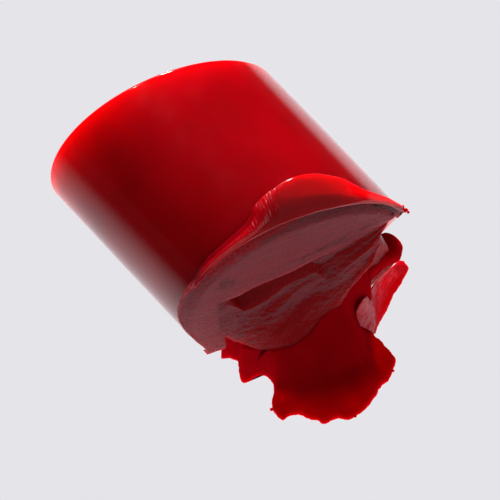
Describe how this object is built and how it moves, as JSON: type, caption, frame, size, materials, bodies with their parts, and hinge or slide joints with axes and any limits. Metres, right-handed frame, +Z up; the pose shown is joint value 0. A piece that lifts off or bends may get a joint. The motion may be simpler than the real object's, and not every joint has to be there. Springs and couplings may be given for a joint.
{
  "type": "solid colour stick stub",
  "caption": "Short stub of a round cast stick of solid red colour, knife-cut at one end and worn, dragged and smeared at the other, lying on its side.",
  "frame": {"origin": "on the table, straight below the stick's axis at the foot of the worn end, on the underside of the smear", "axes": "+X along the stick's axis from the cut end to the worn end, +Y the way the worn end was dragged, +Z up from the table"},
  "size_m": [0.0179, 0.0126, 0.0132],
  "materials": {
    "cast_colour": "smooth glossy cast wax",
    "burnished_colour": "matte, finely grained and streaked where a blade pressed it",
    "smeared_colour": "wet-looking gloss with a ragged edge"
  },
  "bodies": {
    "root": {"stick_stub": "cast_colour", "rolled_lip": "cast_colour", "burnished_pad": "burnished_colour", "torn_layer": "burnished_colour", "smear_film": "smeared_colour", "side_lobe": "smeared_colour", "curled_flake": "smeared_colour", "edge_crumbs": "smeared_colour"}
  },
  "joints": []
}
